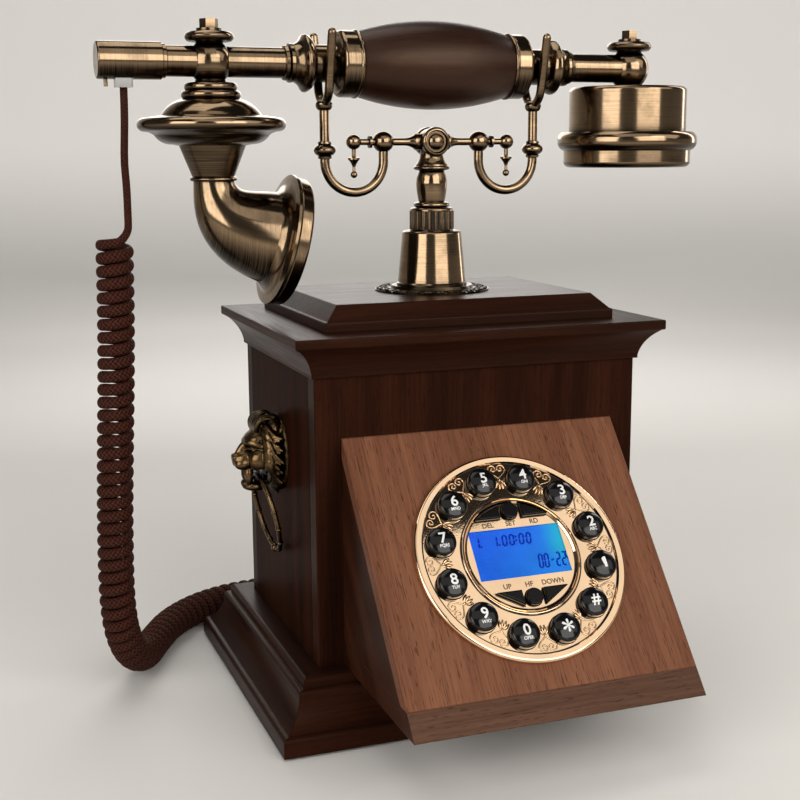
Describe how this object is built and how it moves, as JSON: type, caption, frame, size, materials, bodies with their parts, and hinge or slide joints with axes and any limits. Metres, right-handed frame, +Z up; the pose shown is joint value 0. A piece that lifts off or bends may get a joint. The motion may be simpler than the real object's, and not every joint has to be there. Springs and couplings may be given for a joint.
{
  "type": "corded landline phone",
  "caption": "Antique-style corded desk phone: walnut case with sloped keypad dial, lion-head ring handles, bronze cradle, horn handset and curly cloth cord.",
  "frame": {"origin": "on the table under the middle of the column", "axes": "+Z up, -Y towards the caller (dial side), +X to the caller's right"},
  "size_m": [0.3129, 0.2787, 0.3253],
  "materials": {
    "walnut": "dark stained walnut, satin lacquer",
    "bronze": "light casting with antique bronze plating, brushed and lacquered",
    "dial_brass": "polished pale brass",
    "key_black": "gloss black",
    "felt": "black felt",
    "inner_plastic": "plain dark plastic",
    "steel": "zinc plated",
    "mat_rubber": "matt rubber",
    "clear_plastic": "clear moulded plastic",
    "window": "clear",
    "lcd": "blue lit display",
    "cord_cloth": "braided cloth"
  },
  "bodies": {
    "case": {"base_felt": "felt", "base_plug": "clear_plastic", "bottom_cover": "inner_plastic", "case_screws": "steel", "circuit_boards": "inner_plastic", "cord_curl": "cord_cloth", "cord_lead": "cord_cloth", "cornice": "walnut", "cradle_cone": "bronze", "cradle_flange": "bronze", "dial_box_case": "walnut", "dial_box_face": "walnut", "dial_plate": "dial_brass", "display_plate": "dial_brass", "display_window": "window", "front_panel": "walnut", "hook_spring": "steel", "keypad_mat": "mat_rubber", "lcd_module": "lcd", "lion_heads": "bronze", "modular_jacks": "inner_plastic", "plinth_moulding": "walnut", "rear_panel": "walnut", "ringer_speaker": "inner_plastic", "side_panels": "walnut", "top_plate": "walnut"},
    "cradle": {"cradle_stem": "bronze", "cradle_crossbar": "bronze", "cradle_hooks": "bronze"},
    "handset": {"handset_grip": "walnut", "handset_ferrules": "bronze", "handset_arms": "bronze", "arm_hubs": "bronze", "end_cap": "bronze", "mouthpiece_bell": "bronze", "mouthpiece_horn": "bronze", "receiver_cup": "bronze", "ear_cap": "bronze", "handset_capsules": "inner_plastic", "handset_plug": "clear_plastic"},
    "left_ring": {"left_ring": "bronze"},
    "right_ring": {"right_ring": "bronze"},
    "key_0_body": {"key_0": "key_black"},
    "key_1_body": {"key_1": "key_black"},
    "key_2_body": {"key_2": "key_black"},
    "key_3_body": {"key_3": "key_black"},
    "key_4_body": {"key_4": "key_black"},
    "key_5_body": {"key_5": "key_black"},
    "key_6_body": {"key_6": "key_black"},
    "key_7_body": {"key_7": "key_black"},
    "key_8_body": {"key_8": "key_black"},
    "key_9_body": {"key_9": "key_black"},
    "key_hash_body": {"key_hash": "key_black"},
    "key_lower_left_body": {"key_lower_left": "key_black"},
    "key_lower_middle_body": {"key_lower_middle": "key_black"},
    "key_lower_right_body": {"key_lower_right": "key_black"},
    "key_star_body": {"key_star": "key_black"},
    "key_upper_left_body": {"key_upper_left": "key_black"},
    "key_upper_middle_body": {"key_upper_middle": "key_black"},
    "key_upper_right_body": {"key_upper_right": "key_black"}
  },
  "joints": [
    {"name": "handset_lift", "type": "slide", "parent": "case", "child": "handset", "axis": [0, 0, 1], "range_m": [0, 0.12], "deforming": ["cord_lead", "cord_curl"]},
    {"name": "hook_travel", "type": "slide", "parent": "case", "child": "cradle", "axis": [0, 0, 1], "range_m": [0, 0.004], "deforming": ["hook_spring"]},
    {"name": "left_ring_swing", "type": "hinge", "parent": "case", "child": "left_ring", "pos_m": [-0.0916, 0, 0.11], "axis": [0, 1, 0], "range_deg": [0, 85]},
    {"name": "right_ring_swing", "type": "hinge", "parent": "case", "child": "right_ring", "pos_m": [0.0916, 0, 0.11], "axis": [0, -1, 0], "range_deg": [0, 85]},
    {"name": "key_0_press", "type": "slide", "parent": "case", "child": "key_0_body", "axis": [0, 0.7649, -0.6441], "range_m": [0, 0.0016], "stiffness_N_per_m": 400},
    {"name": "key_1_press", "type": "slide", "parent": "case", "child": "key_1_body", "axis": [0, 0.7649, -0.6441], "range_m": [0, 0.0016], "stiffness_N_per_m": 400},
    {"name": "key_2_press", "type": "slide", "parent": "case", "child": "key_2_body", "axis": [0, 0.7649, -0.6441], "range_m": [0, 0.0016], "stiffness_N_per_m": 400},
    {"name": "key_3_press", "type": "slide", "parent": "case", "child": "key_3_body", "axis": [0, 0.7649, -0.6441], "range_m": [0, 0.0016], "stiffness_N_per_m": 400},
    {"name": "key_4_press", "type": "slide", "parent": "case", "child": "key_4_body", "axis": [0, 0.7649, -0.6441], "range_m": [0, 0.0016], "stiffness_N_per_m": 400},
    {"name": "key_5_press", "type": "slide", "parent": "case", "child": "key_5_body", "axis": [0, 0.7649, -0.6441], "range_m": [0, 0.0016], "stiffness_N_per_m": 400},
    {"name": "key_6_press", "type": "slide", "parent": "case", "child": "key_6_body", "axis": [0, 0.7649, -0.6441], "range_m": [0, 0.0016], "stiffness_N_per_m": 400},
    {"name": "key_7_press", "type": "slide", "parent": "case", "child": "key_7_body", "axis": [0, 0.7649, -0.6441], "range_m": [0, 0.0016], "stiffness_N_per_m": 400},
    {"name": "key_8_press", "type": "slide", "parent": "case", "child": "key_8_body", "axis": [0, 0.7649, -0.6441], "range_m": [0, 0.0016], "stiffness_N_per_m": 400},
    {"name": "key_9_press", "type": "slide", "parent": "case", "child": "key_9_body", "axis": [0, 0.7649, -0.6441], "range_m": [0, 0.0016], "stiffness_N_per_m": 400},
    {"name": "key_hash_press", "type": "slide", "parent": "case", "child": "key_hash_body", "axis": [0, 0.7649, -0.6441], "range_m": [0, 0.0016], "stiffness_N_per_m": 400},
    {"name": "key_lower_left_press", "type": "slide", "parent": "case", "child": "key_lower_left_body", "axis": [0, 0.7649, -0.6441], "range_m": [0, 0.0016], "stiffness_N_per_m": 400},
    {"name": "key_lower_middle_press", "type": "slide", "parent": "case", "child": "key_lower_middle_body", "axis": [0, 0.7649, -0.6441], "range_m": [0, 0.0016], "stiffness_N_per_m": 400},
    {"name": "key_lower_right_press", "type": "slide", "parent": "case", "child": "key_lower_right_body", "axis": [0, 0.7649, -0.6441], "range_m": [0, 0.0016], "stiffness_N_per_m": 400},
    {"name": "key_star_press", "type": "slide", "parent": "case", "child": "key_star_body", "axis": [0, 0.7649, -0.6441], "range_m": [0, 0.0016], "stiffness_N_per_m": 400},
    {"name": "key_upper_left_press", "type": "slide", "parent": "case", "child": "key_upper_left_body", "axis": [0, 0.7649, -0.6441], "range_m": [0, 0.0016], "stiffness_N_per_m": 400},
    {"name": "key_upper_middle_press", "type": "slide", "parent": "case", "child": "key_upper_middle_body", "axis": [0, 0.7649, -0.6441], "range_m": [0, 0.0016], "stiffness_N_per_m": 400},
    {"name": "key_upper_right_press", "type": "slide", "parent": "case", "child": "key_upper_right_body", "axis": [0, 0.7649, -0.6441], "range_m": [0, 0.0016], "stiffness_N_per_m": 400}
  ],
  "couplings": [
    {"joint": "hook_travel", "follows": "handset_lift", "ratio": 0.033333}
  ]
}
